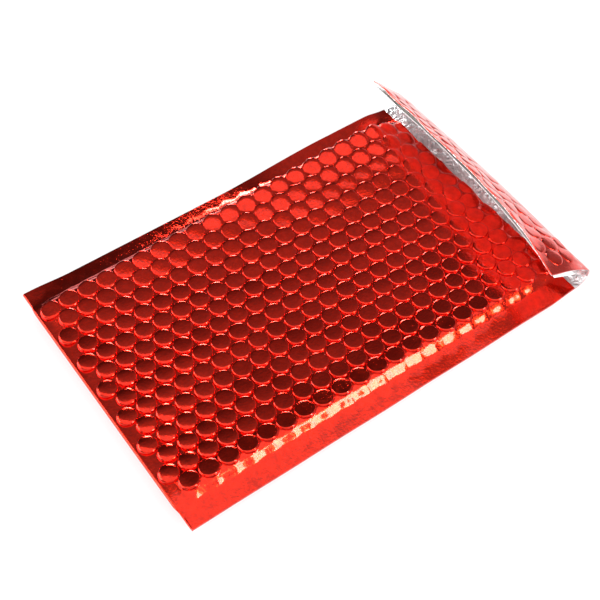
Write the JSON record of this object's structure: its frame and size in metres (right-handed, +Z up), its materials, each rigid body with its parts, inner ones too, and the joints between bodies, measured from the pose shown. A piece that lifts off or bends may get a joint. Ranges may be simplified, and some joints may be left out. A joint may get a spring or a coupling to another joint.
{
  "type": "padded envelope",
  "caption": "Flat, empty padded envelope of metallised bubble film, with welded side seams and a closing flap folded up over its mouth.",
  "frame": {"origin": "on the floor under the middle of the envelope's bounding box", "axes": "+X across the web, +Y from the bottom fold towards the mouth and flap, +Z up"},
  "size_m": [0.17, 0.2652, 0.04],
  "materials": {
    "bubble_film_envelope": "glossy red metallised film",
    "inner_lining": "satin silver film",
    "adhesive_strip": "clear pressure-sensitive glue",
    "release_liner": "white coated paper"
  },
  "bodies": {
    "root": {"bubble_film_envelope": "bubble_film_envelope", "inner_lining": "inner_lining", "adhesive_strip": "adhesive_strip", "release_liner": "release_liner"}
  },
  "joints": []
}
